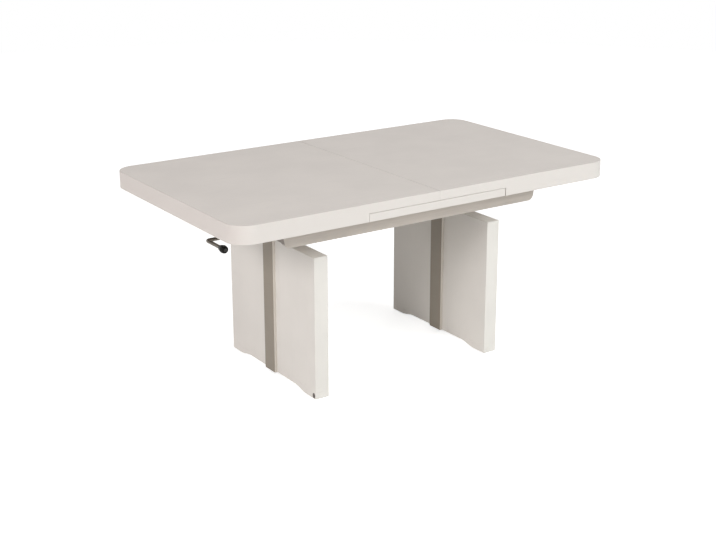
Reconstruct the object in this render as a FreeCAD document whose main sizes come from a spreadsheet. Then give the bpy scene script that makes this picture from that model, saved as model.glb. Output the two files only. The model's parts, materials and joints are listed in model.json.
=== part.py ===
"""Convertible coffee and dining table.

Two pedestals hold screw-driven lifting columns, turned together by one crank. The lifted frame
carries two top halves that part on slides, tied by racks and a pinion, and a leaf stored under them.

Lengths are in millimetres. The origin is on the floor under the middle of the top. X runs along
the top with the crank at the -X end, -Y is the front and +Z is up. The table is drawn at its
lowest height with the halves closed.
"""
import FreeCAD
import Part
import Sketcher
import math
import os

DIMENSIONS = {
    # top halves
    "top_length": 1200,
    "top_width": 700,
    "table_height": 557,
    "board_thickness": 25,
    "rim_depth": 23,
    "rim_width": 40,
    "corner_radius": 55,
    "split_gap": 0.4,
    "arris_radius": 1.5,
    # stored leaf
    "leaf_length": 440,
    "leaf_thickness": 21.5,
    "leaf_end_gap": 2,
    "leaf_side_lie": 1,
    "leaf_rest_gap": 0.2,
    # dowels between the halves
    "dowel_diameter": 8,
    "dowel_length": 30,
    "dowel_reach": 10,
    "dowel_pitch": 220,
    # frame under the top
    "frame_width": 500,
    "rail_thickness": 18,
    "rail_height": 63,
    "rail_foot_length": 814,
    "rail_end_slant": 12,
    "rail_corner_radius": 18,
    "member_height": 24,
    "cross_member_width": 90,
    "centre_member_width": 80,
    "corner_block_leg": 36,
    # slides of the halves
    "guide_length": 800,
    "guide_width": 42,
    "guide_height": 36,
    "guide_wall": 2.5,
    "slide_clearance": 0.3,
    "bar_length": 580,
    "bar_reach": 190,
    "neck_width": 7,
    "neck_side_gap": 0.8,
    "neck_top_gap": 0.6,
    "mount_start": 240,
    "mount_length": 140,
    "mount_width": 14,
    # racks and pinion that tie the halves
    "rack_module": 2,
    "rack_backlash": 0.3,
    "rack_height": 12,
    "rack_back": 10,
    "rack_lift": 8,
    "rack_reach": 240,
    "rack_tooth_end": 20,
    "rack_arm_start": 224,
    "rack_arm_length": 32,
    "rack_keep": 8,
    "rack_keeper_lip": 6,
    "pinion_overlap": 2,
    "pinion_hub_diameter": 24,
    "pin_diameter": 8,
    "pin_head_diameter": 20,
    "pin_head_height": 4,
    # pedestals
    "leg_pitch": 574,
    "leg_width": 450,
    "wing_thickness": 42,
    "foot_length": 58,
    "ogee_run": 37,
    "ogee_radius": 100,
    "arch_rise": 9,
    "glide_thickness": 3,
    "glide_diameter": 28,
    "glide_stem_diameter": 5,
    "glide_stem_length": 15,
    # lifting columns
    "column_depth": 58,
    "column_width": 54,
    "tube_wall": 2.5,
    "tube_corner_radius": 3,
    "inner_depth": 44,
    "inner_width": 40,
    "inner_foot_gap": 22,
    "foot_plate": 6,
    "collar_depth": 40,
    "collar_lip": 2.5,
    "collar_clearance": 0.15,
    "shoe_height": 30,
    "shoe_clearance": 0.2,
    "stop_gap": 0.5,
    "bolt_diameter": 6,
    "bolt_head_diameter": 10,
    "bolt_head_height": 2.5,
    "bolt_length": 30,
    "high_bolt_drop": 47,
    # lifting screws
    "spindle_diameter": 14,
    "spindle_foot_gap": 42,
    "spindle_collar_diameter": 22,
    "spindle_collar_height": 6,
    "bearing_height": 20,
    "nut_drop": 67,
    "nut_tube_diameter": 26,
    "nut_tube_bore": 20,
    "nut_depth": 12,
    "nut_flange_diameter": 30,
    "nut_flange_height": 13,
    # gearboxes
    "gearbox_length": 56,
    "gearbox_width": 52,
    "gearbox_height": 46,
    "gearbox_wall": 5,
    "cover_length": 84,
    "cover_width": 76,
    "cover_thickness": 5,
    "cover_bolt_inset": 7,
    "cover_bolt_head": 4,
    "cover_bolt_grip": 18,
    "bevel_module": 1.5,
    "bevel_face": 5,
    "bevel_backlash": 0.3,
    "bevel_back": 1,
    "bevel_hub_diameter": 18,
    "bevel_embed": 0.5,
    "hub_gap": 0.4,
    # drive shaft and crank
    "shaft_drop": 26,
    "shaft_diameter": 10,
    "shaft_end": 8,
    "bush_wall": 2,
    "bush_flange": 2,
    "bracket_thickness": 14,
    "bracket_eye_diameter": 32,
    "bracket_flange_width": 70,
    "bracket_flange_thickness": 6,
    "coupling_diameter": 18,
    "coupling_length": 32,
    "coupling_gap": 10,
    "crank_reach": 497,
    "crank_bend": 8,
    "crank_arm": 89,
    "knob_diameter": 22,
    "knob_neck_diameter": 16,
    "knob_end_diameter": 18.5,
    "knob_length": 25,
    "knob_cap": 6,
    "knob_round": 5,
    # fits
    "fit_clearance": 0.05,
    "hole_depth_spare": 1,
    "overrun": 5,
}

PINION_TEETH = 20
BEVEL_TEETH = 16
PRESSURE_ANGLE = math.radians(20)
BEVEL_CONE = math.radians(45)
# Tooth heights as shares of the module.
RACK_ADDENDUM_SHARE = 1.0
RACK_DEDENDUM_SHARE = 1.25
BEVEL_ADDENDUM_SHARE = 0.8
BEVEL_DEDENDUM_SHARE = 1.1
# Bevel tooth half thicknesses at root, pitch line and tip, as shares of the module.
BEVEL_THICKNESS_SHARES = (1.05, 0.72, 0.33)
# Where the knob is widest, as a share of its length.
KNOB_BELLY_SHARE = 0.55

SIDES = (("left", -1), ("right", 1))
FACES = (("front", -1), ("rear", 1))

V = FreeCAD.Vector
doc = FreeCAD.newDocument("convertible_table")
sheet = doc.addObject("Spreadsheet::Sheet", "dim")
for row, (alias, value) in enumerate(DIMENSIONS.items(), 1):
    sheet.set(f"A{row}", str(value))
    sheet.setAlias(f"A{row}", alias)
doc.recompute()

# Heights that several pieces share.
BOARD_UNDERSIDE = "(dim.table_height - dim.board_thickness)"
RAIL_TOP = f"({BOARD_UNDERSIDE} - dim.rim_depth)"
RAIL_BOTTOM = f"({RAIL_TOP} - dim.rail_height)"
MEMBER_TOP = f"({RAIL_BOTTOM} + dim.member_height)"
SHAFT_HEIGHT = f"({RAIL_BOTTOM} - dim.shaft_drop)"
GEARBOX_BOTTOM = f"({RAIL_BOTTOM} - dim.gearbox_height)"
LEG_TOP = f"({GEARBOX_BOTTOM} - dim.stop_gap - dim.collar_lip)"
COLUMN_FOOT = "(dim.glide_thickness + dim.arch_rise)"
PLATE_TOP = f"({COLUMN_FOOT} + dim.foot_plate)"
INNER_FOOT = f"({PLATE_TOP} + dim.inner_foot_gap)"
NUT_SEAT = f"({LEG_TOP} - dim.nut_drop)"
BEARING_FOOT = f"({GEARBOX_BOTTOM} - dim.bearing_height)"
COVER_BOTTOM = f"({RAIL_BOTTOM} - dim.cover_thickness)"
RACK_BOTTOM = f"({MEMBER_TOP} + dim.rack_lift)"
RACK_TOP = f"({RACK_BOTTOM} + dim.rack_height)"
NECK_TOP = f"({RAIL_TOP} - dim.neck_top_gap)"

# Distances from the middle planes that several pieces share.
RAIL_INSIDE = "(dim.frame_width / 2 - dim.rail_thickness)"
BORE_DEPTH = "(dim.column_depth - 2 * dim.tube_wall)"
BORE_WIDTH = "(dim.column_width - 2 * dim.tube_wall)"
INNER_BORE_DEPTH = "(dim.inner_depth - 2 * dim.tube_wall)"
INNER_BORE_WIDTH = "(dim.inner_width - 2 * dim.tube_wall)"
CHANNEL_WIDTH = "((dim.guide_width - 3 * dim.guide_wall) / 2)"
PINION_RADIUS = f"(dim.rack_module * {PINION_TEETH} / 2)"
RACK_ROOT = f"({PINION_RADIUS} + dim.rack_module * {RACK_DEDENDUM_SHARE})"
RACK_BACK = f"({RACK_ROOT} + dim.rack_back)"
SHAFT_RADIUS = "(dim.shaft_diameter / 2)"
BEVEL_RADIUS = f"(dim.bevel_module * {BEVEL_TEETH} / 2)"
END_RAIL_FACE = "(dim.rail_foot_length / 2 - dim.rail_corner_radius)"
BRACKET_X = f"(dim.rail_thickness / 2 - {END_RAIL_FACE})"
COUPLING_X = f"({BRACKET_X} + dim.bracket_thickness / 2 + dim.bush_flange + dim.coupling_gap)"
SHAFT_JOIN_X = f"({COUPLING_X} + dim.coupling_length / 2)"
ROD_END = "(dim.crank_arm + dim.knob_length / 2 - dim.knob_cap)"

AXIS_TURNS = {
    "x": FreeCAD.Rotation(V(0, 1, 0), 90),
    "y": FreeCAD.Rotation(V(1, 0, 0), -90),
    "z": FreeCAD.Rotation(),
}
nodes = []


def number(expression):
    """Value of an expression in the sheet's sizes."""
    return float(sheet.evalExpression(expression))


def node(label, obj):
    """Name a finished sub-part and keep it for writing."""
    obj.Label = label
    nodes.append(obj)
    return obj


def place(obj, x="0", y="0", z="0"):
    """Tie an object's place to expressions."""
    for axis, expression in zip("xyz", (x, y, z)):
        if expression != "0":
            obj.setExpression(f"Placement.Base.{axis}", expression)
    return obj


def span(sign, near, far):
    """An interval on the side of the middle plane that the sign gives."""
    return (near, far) if sign > 0 else (f"-({far})", f"-({near})")


def about(centre, width):
    """An interval of a width about a centre."""
    return f"{centre} - {width} / 2", f"{centre} + {width} / 2"


def box(name, x, y, z):
    """A block between two expressions on each axis."""
    obj = doc.addObject("Part::Box", name)
    for side, (low, high) in zip(("Length", "Width", "Height"), (x, y, z)):
        obj.setExpression(side, f"({high}) - ({low})")
    return place(obj, x[0], y[0], z[0])


def cylinder(name, axis, radius, length, x="0", y="0", z="0"):
    """A cylinder that starts at a point and runs along a positive axis."""
    obj = doc.addObject("Part::Cylinder", name)
    obj.setExpression("Radius", radius)
    obj.setExpression("Height", length)
    obj.Placement = FreeCAD.Placement(V(), AXIS_TURNS[axis])
    return place(obj, x, y, z)


def fuse(name, *pieces):
    obj = doc.addObject("Part::MultiFuse", name)
    obj.Shapes = list(pieces)
    obj.Refine = True
    return obj


def cut(name, base, *tools):
    obj = doc.addObject("Part::Cut", name)
    obj.Base = base
    obj.Tool = tools[0] if len(tools) == 1 else fuse(f"{name}_tools", *tools)
    return obj


def group(name, *pieces):
    """Separate solids kept together as one sub-part."""
    obj = doc.addObject("Part::Compound", name)
    obj.Links = list(pieces)
    return obj


def body(name, x="0", y="0", z="0"):
    return place(doc.addObject("PartDesign::Body", name), x, y, z)


def origin_feature(owner, role):
    return next(feature for feature in owner.Origin.OriginFeatures if feature.Role == role)


def outline(owner, plane, points):
    """A closed polygon on one of the body's planes, each corner held by two expressions."""
    sketch = owner.newObject("Sketcher::SketchObject", f"{owner.Name}_outline")
    sketch.AttachmentSupport = (origin_feature(owner, plane), [""])
    sketch.MapMode = "FlatFace"
    corners = [V(number(across), number(along), 0) for across, along in points]
    count = len(corners)
    for index, corner in enumerate(corners):
        sketch.addGeometry(Part.LineSegment(corner, corners[(index + 1) % count]), False)
    for index in range(count):
        sketch.addConstraint(Sketcher.Constraint("Coincident", index, 2, (index + 1) % count, 1))
    for index, (point, corner) in enumerate(zip(points, corners)):
        for kind, expression, value in zip(("DistanceX", "DistanceY"), point, (corner.x, corner.y)):
            held = sketch.addConstraint(Sketcher.Constraint(kind, -1, 1, index, 1, value))
            sketch.setExpression(f"Constraints[{held}]", expression)
    return sketch


def rectangle(width, depth):
    """Corners of a rectangle about the origin."""
    right = f"{width} / 2"
    back = f"{depth} / 2"
    return [(f"-{right}", f"-{back}"), (right, f"-{back}"), (right, back), (f"-{right}", back)]


def pad(owner, plane, points, length, middle=False):
    feature = owner.newObject("PartDesign::Pad", f"{owner.Name}_pad")
    feature.Profile = outline(owner, plane, points)
    feature.setExpression("Length", length)
    feature.Midplane = middle
    return feature


def pocket(owner, plane, points, depth):
    """Cut an outline upwards into the solid that stands on its plane."""
    doc.recompute()
    before = owner.Shape.Volume
    feature = owner.newObject("PartDesign::Pocket", f"{owner.Name}_pocket")
    feature.Profile = outline(owner, plane, points)
    feature.setExpression("Length", depth)
    feature.Reversed = True
    doc.recompute()
    if not owner.Shape.Volume < before:
        raise ValueError(f"{owner.Name}: the pocket cuts nothing")
    return feature


def revolve(owner, plane, points, axis):
    feature = owner.newObject("PartDesign::Revolution", f"{owner.Name}_turned")
    feature.Profile = outline(owner, plane, points)
    feature.ReferenceAxis = (origin_feature(owner, axis), [""])
    return feature


def round_edges(owner, radius, wanted):
    """Round the edges of a body that a test on the edge picks."""
    doc.recompute()
    tip = owner.Tip
    names = [f"Edge{index}" for index, edge in enumerate(tip.Shape.Edges, 1) if wanted(edge)]
    if not names:
        raise ValueError(f"{owner.Name}: no edge to round")
    feature = owner.newObject("PartDesign::Fillet", f"{owner.Name}_round")
    feature.Base = (tip, names)
    feature.setExpression("Radius", radius)
    return feature


def runs_along(edge, axis):
    """Whether an edge is straight and parallel to an axis."""
    extent = {"x": edge.BoundBox.XLength, "y": edge.BoundBox.YLength, "z": edge.BoundBox.ZLength}
    length = extent.pop(axis)
    return all(math.isclose(other, 0, abs_tol=length / 1e6) for other in extent.values())


def same(first, second):
    return math.isclose(first, second, rel_tol=1e-6, abs_tol=1e-6)


def leg_x(sign):
    return f"({sign} * dim.leg_pitch / 2)"


def low_bolt_height():
    return f"({PLATE_TOP} + dim.inner_foot_gap / 2)"


def high_bolt_height():
    return f"({LEG_TOP} - dim.collar_depth - dim.high_bolt_drop)"


def column_tube(side, sign):
    """Outer lifting column between the two wings of a pedestal."""
    section = body(f"{side}_tube_section", x=leg_x(sign), z=COLUMN_FOOT)
    height = f"{LEG_TOP} - {COLUMN_FOOT}"
    pad(section, "XY_Plane", rectangle("dim.column_depth", "dim.column_width"), height)
    round_edges(section, "dim.tube_corner_radius", lambda edge: runs_along(edge, "z"))
    pocket(section, "XY_Plane", rectangle(BORE_DEPTH, BORE_WIDTH), height)
    holes = [
        cylinder(
            f"{side}_tube_hole", "y", "dim.bolt_diameter / 2", "dim.column_width",
            leg_x(sign), "-dim.column_width / 2", level,
        )
        for level in (low_bolt_height(), high_bolt_height())
    ]
    node(f"{side}_column_tube", cut(f"{side}_column", section, *holes))


def wing(side, sign, face, front):
    """Panel beside the column, with a shallow arch between its foot and the column."""
    sole = "dim.glide_thickness"
    arch = COLUMN_FOOT
    outer = f"{front} * dim.leg_width / 2"
    heel = f"{front} * (dim.leg_width / 2 - dim.foot_length)"
    spring = f"{front} * (dim.leg_width / 2 - dim.foot_length - dim.ogee_run)"
    inner = f"{front} * dim.column_width / 2"
    panel = body(f"{side}_{face}_panel", x=leg_x(sign))
    points = [
        (outer, sole), (heel, sole), (spring, arch), (inner, arch), (inner, LEG_TOP), (outer, LEG_TOP),
    ]
    pad(panel, "YZ_Plane", points, "dim.wing_thickness", middle=True)
    curves = [abs(number(heel)), abs(number(spring))]

    def on_ogee(edge):
        return runs_along(edge, "x") and any(same(abs(edge.CenterOfMass.y), at) for at in curves)

    def on_arris(edge):
        upright = runs_along(edge, "z") and same(edge.CenterOfMass.y, number(outer))
        level = runs_along(edge, "y") and same(edge.CenterOfMass.z, number(LEG_TOP))
        return upright or level

    round_edges(panel, "dim.ogee_radius", on_ogee)
    round_edges(panel, "dim.arris_radius", on_arris)
    foot_y = f"{front} * (dim.leg_width / 2 - dim.foot_length / 2)"
    tools = [
        cylinder(
            f"{side}_{face}_glide_hole", "z", "dim.glide_stem_diameter / 2 + dim.fit_clearance",
            "dim.glide_stem_length + dim.hole_depth_spare", leg_x(sign), foot_y, sole,
        )
    ]
    depth = "(dim.bolt_length - dim.tube_wall + dim.hole_depth_spare)"
    start = span(front, "dim.column_width / 2", f"dim.column_width / 2 + {depth}")[0]
    for level in (low_bolt_height(), high_bolt_height()):
        tools.append(
            cylinder(
                f"{side}_{face}_bolt_hole", "y", "dim.bolt_diameter / 2", depth, leg_x(sign), start, level,
            )
        )
    node(f"{side}_{face}_wing", cut(f"{side}_{face}_drilled", panel, *tools))


def wing_bolts():
    """Bolts from inside each column into the wings."""
    bolts = []
    for side, sign in SIDES:
        for face, front in FACES:
            for level in (low_bolt_height(), high_bolt_height()):
                seat = f"({BORE_WIDTH} / 2)"
                head_y = span(front, f"{seat} - dim.bolt_head_height", seat)[0]
                shank_y = span(front, seat, f"{seat} + dim.bolt_length")[0]
                head = cylinder(
                    "wing_bolt_head", "y", "dim.bolt_head_diameter / 2", "dim.bolt_head_height",
                    leg_x(sign), head_y, level,
                )
                shank = cylinder(
                    "wing_bolt_shank", "y", "dim.bolt_diameter / 2 - dim.fit_clearance", "dim.bolt_length",
                    leg_x(sign), shank_y, level,
                )
                bolts.append(fuse("wing_bolt", head, shank))
    node("wing_bolts", group("wing_bolt_set", *bolts))


def floor_glides():
    """Plastic glides with a stem, one under each foot."""
    glides = []
    for side, sign in SIDES:
        for face, front in FACES:
            foot_y = f"{front} * (dim.leg_width / 2 - dim.foot_length / 2)"
            disc = cylinder(
                "glide_disc", "z", "dim.glide_diameter / 2", "dim.glide_thickness", leg_x(sign), foot_y,
            )
            stem = cylinder(
                "glide_stem", "z", "dim.glide_stem_diameter / 2",
                "dim.glide_thickness + dim.glide_stem_length", leg_x(sign), foot_y,
            )
            glides.append(fuse("floor_glide", disc, stem))
    node("floor_glides", group("floor_glide_set", *glides))


def foot_plates():
    """Plates that close the columns and carry the nut tubes."""
    plates = [
        box(
            f"{side}_plate", about(leg_x(sign), BORE_DEPTH), about("0", BORE_WIDTH),
            (COLUMN_FOOT, PLATE_TOP),
        )
        for side, sign in SIDES
    ]
    node("foot_plates", group("foot_plate_set", *plates))


def nut_tube(side, sign):
    """Tube that holds the lifting nut above the foot plate."""
    height = f"{NUT_SEAT} - {PLATE_TOP}"
    outside = cylinder(
        f"{side}_nut_tube_outside", "z", "dim.nut_tube_diameter / 2", height, leg_x(sign), z=PLATE_TOP,
    )
    inside = cylinder(
        f"{side}_nut_tube_inside", "z", "dim.nut_tube_bore / 2", height, leg_x(sign), z=PLATE_TOP,
    )
    node(f"{side}_nut_tube", cut(f"{side}_nut_pipe", outside, inside))


def spindle_nut(side, sign):
    """Flanged nut in the top of its tube."""
    bore = "dim.spindle_diameter / 2 + dim.fit_clearance"
    spigot = "dim.nut_tube_bore / 2 - dim.fit_clearance"
    flange = "dim.nut_flange_diameter / 2"
    nut = body(f"{side}_nut_turning", x=leg_x(sign), z=NUT_SEAT)
    points = [
        (bore, "-dim.nut_depth"), (spigot, "-dim.nut_depth"), (spigot, "0"), (flange, "0"),
        (flange, "dim.nut_flange_height"), (bore, "dim.nut_flange_height"),
    ]
    revolve(nut, "XZ_Plane", points, "Z_Axis")
    node(f"{side}_spindle_nut", nut)


def guide_collar(side, sign):
    """Plastic collar in the mouth of the column, with a lip over its rim."""
    seat = box(
        f"{side}_collar_seat",
        about(leg_x(sign), f"({BORE_DEPTH} - 2 * dim.fit_clearance)"),
        about("0", f"({BORE_WIDTH} - 2 * dim.fit_clearance)"),
        (f"{LEG_TOP} - dim.collar_depth", LEG_TOP),
    )
    lip = box(
        f"{side}_collar_lip", about(leg_x(sign), "dim.column_depth"), about("0", "dim.column_width"),
        (LEG_TOP, f"{LEG_TOP} + dim.collar_lip"),
    )
    opening = box(
        f"{side}_collar_opening",
        about(leg_x(sign), "(dim.inner_depth + 2 * dim.collar_clearance)"),
        about("0", "(dim.inner_width + 2 * dim.collar_clearance)"),
        (f"{LEG_TOP} - dim.collar_depth - dim.overrun", f"{LEG_TOP} + dim.collar_lip + dim.overrun"),
    )
    node(f"{side}_guide_collar", cut(f"{side}_collar", fuse(f"{side}_collar_blank", seat, lip), opening))


def long_rail(face, front):
    """Side rail of the frame, rounded at the lower corners, with ends that slant a little."""
    middle = f"{front} * (dim.frame_width - dim.rail_thickness) / 2"
    rail = body(f"{face}_rail_board", y=middle, z=RAIL_BOTTOM)
    foot = "dim.rail_foot_length / 2"
    head = "(dim.rail_foot_length / 2 + dim.rail_end_slant)"
    points = [(f"-{foot}", "0"), (foot, "0"), (head, "dim.rail_height"), (f"-{head}", "dim.rail_height")]
    pad(rail, "XZ_Plane", points, "dim.rail_thickness", middle=True)
    round_edges(
        rail, "dim.rail_corner_radius", lambda edge: runs_along(edge, "y") and same(edge.CenterOfMass.z, 0)
    )
    outside = number(f"{front} * dim.rail_thickness / 2")
    top = number("dim.rail_height")
    round_edges(
        rail, "dim.arris_radius",
        lambda edge: same(edge.CenterOfMass.y, outside) and not same(edge.CenterOfMass.z, top),
    )
    node(f"{face}_rail", rail)


def end_rail(side, sign):
    """Low rail between the long rails, set back behind their rounded corners and slanted like them."""
    lean = "(dim.rail_end_slant * dim.member_height / dim.rail_height)"
    inner = f"({END_RAIL_FACE} - dim.rail_thickness)"
    rail = body(f"{side}_end_board", z=RAIL_BOTTOM)
    points = [
        (f"{sign} * {inner}", "0"), (f"{sign} * {END_RAIL_FACE}", "0"),
        (f"{sign} * ({END_RAIL_FACE} + {lean})", "dim.member_height"),
        (f"{sign} * ({inner} + {lean})", "dim.member_height"),
    ]
    pad(rail, "XZ_Plane", points, f"2 * {RAIL_INSIDE}", middle=True)
    node(f"{side}_end_rail", rail)


def corner_blocks():
    """Triangular blocks glued between the long and the end rails."""
    blocks = []
    corner_x = f"({END_RAIL_FACE} - dim.rail_thickness)"
    for side, sign in SIDES:
        for face, front in FACES:
            block = body(f"{side}_{face}_block", z=RAIL_BOTTOM)
            points = [
                (f"{sign} * {corner_x}", f"{front} * {RAIL_INSIDE}"),
                (f"{sign} * ({corner_x} - dim.corner_block_leg)", f"{front} * {RAIL_INSIDE}"),
                (f"{sign} * {corner_x}", f"{front} * ({RAIL_INSIDE} - dim.corner_block_leg)"),
            ]
            pad(block, "XY_Plane", points, "dim.member_height")
            blocks.append(block)
    node("corner_blocks", group("corner_block_set", *blocks))


def cover_bolt_places(sign):
    """Plan positions of the bolts through a gearbox cover."""
    reach_x = "(dim.cover_length / 2 - dim.cover_bolt_inset)"
    reach_y = "(dim.cover_width / 2 - dim.cover_bolt_inset)"
    return [(f"{leg_x(sign)} + {i} * {reach_x}", f"{j} * {reach_y}") for i in (-1, 1) for j in (-1, 1)]


def cross_member(side, sign):
    """Board over a column that carries its gearbox."""
    board = box(
        f"{side}_member_board", about(leg_x(sign), "dim.cross_member_width"),
        (f"-{RAIL_INSIDE}", RAIL_INSIDE), (RAIL_BOTTOM, MEMBER_TOP),
    )
    holes = [
        cylinder(
            f"{side}_member_hole", "z", "dim.bolt_diameter / 2",
            "dim.cover_bolt_grip + dim.hole_depth_spare", x, y, RAIL_BOTTOM,
        )
        for x, y in cover_bolt_places(sign)
    ]
    node(f"{side}_cross_member", cut(f"{side}_member", board, *holes))


def centre_member():
    """Board at the middle that carries the pinion's pin and the rack keepers."""
    board = box(
        "centre_board", about("0", "dim.centre_member_width"), (f"-{RAIL_INSIDE}", RAIL_INSIDE),
        (RAIL_BOTTOM, MEMBER_TOP),
    )
    hole = cylinder(
        "centre_hole", "z", "dim.pin_diameter / 2 + dim.fit_clearance", "dim.member_height", z=RAIL_BOTTOM,
    )
    node("centre_member", cut("centre_drilled", board, hole))


def channel_span(front, lane):
    """Width interval of a slide channel: lane 0 is beside the rail and lane 1 is inside it."""
    far = f"({RAIL_INSIDE} - dim.guide_wall - {lane} * ({CHANNEL_WIDTH} + dim.guide_wall))"
    return span(front, f"({far} - {CHANNEL_WIDTH})", far)


def slide_guide(face, front):
    """Double channel section along a long rail, open at the top for the necks of the bars."""
    length = about("0", "dim.guide_length")
    over_length = about("0", "(dim.guide_length + 2 * dim.overrun)")
    top = f"({MEMBER_TOP} + dim.guide_height)"
    section = box(
        f"{face}_guide_section", length, span(front, f"{RAIL_INSIDE} - dim.guide_width", RAIL_INSIDE),
        (MEMBER_TOP, top),
    )
    tools = []
    for lane in (0, 1):
        low, high = channel_span(front, lane)
        middle = f"(({low} + {high}) / 2)"
        tools.append(
            box(
                f"{face}_channel", over_length, (low, high),
                (f"{MEMBER_TOP} + dim.guide_wall", f"{top} - dim.guide_wall"),
            )
        )
        tools.append(
            box(
                f"{face}_slot", over_length, about(middle, "(dim.neck_width + 2 * dim.neck_side_gap)"),
                (f"{top} - dim.guide_wall - dim.overrun", f"{top} + dim.overrun"),
            )
        )
    node(f"{face}_guide", cut(f"{face}_double_channel", section, *tools))


def slide_bars(side, sign, lane):
    """Bars in the channels of both guides, and the blocks that join them to a top half."""
    reach = span(sign, "-dim.bar_reach", "dim.bar_length - dim.bar_reach")
    channel_bottom = f"({MEMBER_TOP} + dim.guide_wall)"
    channel_top = f"({MEMBER_TOP} + dim.guide_height - dim.guide_wall)"
    bars = []
    blocks = []
    for face, front in FACES:
        low, high = channel_span(front, lane)
        middle = f"(({low} + {high}) / 2)"
        bar = box(
            f"{side}_{face}_bar", reach, (f"{low} + dim.slide_clearance", f"{high} - dim.slide_clearance"),
            (f"{channel_bottom} + dim.slide_clearance", f"{channel_top} - dim.slide_clearance"),
        )
        neck = box(
            f"{side}_{face}_neck", reach, about(middle, "dim.neck_width"),
            (f"{channel_top} - dim.overrun", NECK_TOP),
        )
        bars.append(fuse(f"{side}_{face}_runner", bar, neck))
        blocks.append(
            box(
                f"{side}_{face}_mount", span(sign, "dim.mount_start", "dim.mount_start + dim.mount_length"),
                about(middle, "dim.mount_width"), (NECK_TOP, BOARD_UNDERSIDE),
            )
        )
    node(f"{side}_slide_bars", group(f"{side}_bar_pair", *bars))
    node(f"{side}_mount_blocks", group(f"{side}_mount_pair", *blocks))


def inner_column(side, sign):
    """Inner lifting column that hangs from its gearbox."""
    section = body(f"{side}_inner_section", x=leg_x(sign), z=INNER_FOOT)
    height = f"{GEARBOX_BOTTOM} - {INNER_FOOT}"
    pad(section, "XY_Plane", rectangle("dim.inner_depth", "dim.inner_width"), height)
    pocket(section, "XY_Plane", rectangle(INNER_BORE_DEPTH, INNER_BORE_WIDTH), height)
    node(f"{side}_inner_column", section)


def guide_shoes():
    """Plastic shoes round the feet of the inner columns."""
    shoes = []
    for side, sign in SIDES:
        level = (INNER_FOOT, f"{INNER_FOOT} + dim.shoe_height")
        outside = box(
            f"{side}_shoe_outside", about(leg_x(sign), f"({BORE_DEPTH} - 2 * dim.shoe_clearance)"),
            about("0", f"({BORE_WIDTH} - 2 * dim.shoe_clearance)"), level,
        )
        inside = box(
            f"{side}_shoe_inside", about(leg_x(sign), "(dim.inner_depth + 2 * dim.fit_clearance)"),
            about("0", "(dim.inner_width + 2 * dim.fit_clearance)"), level,
        )
        shoes.append(cut(f"{side}_shoe", outside, inside))
    node("guide_shoes", group("guide_shoe_pair", *shoes))


def spindle_bearings():
    """Bearing blocks in the heads of the inner columns, which stand on the spindles' collars."""
    blocks = []
    for side, sign in SIDES:
        block = box(
            f"{side}_bearing_block", about(leg_x(sign), f"({INNER_BORE_DEPTH} - 2 * dim.fit_clearance)"),
            about("0", f"({INNER_BORE_WIDTH} - 2 * dim.fit_clearance)"), (BEARING_FOOT, GEARBOX_BOTTOM),
        )
        bore = cylinder(
            f"{side}_bearing_bore", "z", "dim.spindle_diameter / 2 + dim.fit_clearance",
            "dim.bearing_height", leg_x(sign), z=BEARING_FOOT,
        )
        blocks.append(cut(f"{side}_bearing", block, bore))
    node("spindle_bearings", group("spindle_bearing_pair", *blocks))


def gearbox_housing(side, sign):
    """Cast cup round a pair of bevel gears, open at the top, with bush seats for the shaft."""
    outside = box(
        f"{side}_housing_outside", about(leg_x(sign), "dim.gearbox_length"),
        about("0", "dim.gearbox_width"), (GEARBOX_BOTTOM, COVER_BOTTOM),
    )
    cavity = box(
        f"{side}_housing_cavity", about(leg_x(sign), "(dim.gearbox_length - 2 * dim.gearbox_wall)"),
        about("0", "(dim.gearbox_width - 2 * dim.gearbox_wall)"),
        (f"{GEARBOX_BOTTOM} + dim.gearbox_wall", f"{COVER_BOTTOM} + dim.overrun"),
    )
    hub_hole = cylinder(
        f"{side}_housing_hub_hole", "z", "dim.bevel_hub_diameter / 2 + dim.hub_gap",
        "dim.gearbox_wall + dim.overrun", leg_x(sign), z=GEARBOX_BOTTOM,
    )
    shaft_hole = cylinder(
        f"{side}_housing_shaft_hole", "x", f"{SHAFT_RADIUS} + dim.bush_wall + dim.fit_clearance",
        "dim.gearbox_length", f"{leg_x(sign)} - dim.gearbox_length / 2", z=SHAFT_HEIGHT,
    )
    node(f"{side}_gearbox_housing", cut(f"{side}_housing", outside, cavity, hub_hole, shaft_hole))


def gearbox_cover(side, sign):
    """Plate that closes the gearbox and bolts to the cross member."""
    plate = box(
        f"{side}_cover_plate", about(leg_x(sign), "dim.cover_length"), about("0", "dim.cover_width"),
        (COVER_BOTTOM, RAIL_BOTTOM),
    )
    holes = [
        cylinder(
            f"{side}_cover_hole", "z", "dim.bolt_diameter / 2", "dim.cover_thickness", x, y, COVER_BOTTOM,
        )
        for x, y in cover_bolt_places(sign)
    ]
    node(f"{side}_gearbox_cover", cut(f"{side}_cover", plate, *holes))


def gearbox_bolts():
    """Hexagon bolts through the covers into the cross members."""
    bolts = []
    for side, sign in SIDES:
        for x, y in cover_bolt_places(sign):
            head = doc.addObject("Part::Prism", "cover_bolt_head")
            head.Polygon = 6
            head.setExpression("Circumradius", "dim.bolt_head_diameter / 2")
            head.setExpression("Height", "dim.cover_bolt_head")
            place(head, x, y, f"{COVER_BOTTOM} - dim.cover_bolt_head")
            shank = cylinder(
                "cover_bolt_shank", "z", "dim.bolt_diameter / 2 - dim.fit_clearance",
                "dim.cover_thickness + dim.cover_bolt_grip", x, y, COVER_BOTTOM,
            )
            bolts.append(fuse("cover_bolt", head, shank))
    node("gearbox_bolts", group("gearbox_bolt_set", *bolts))


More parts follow.
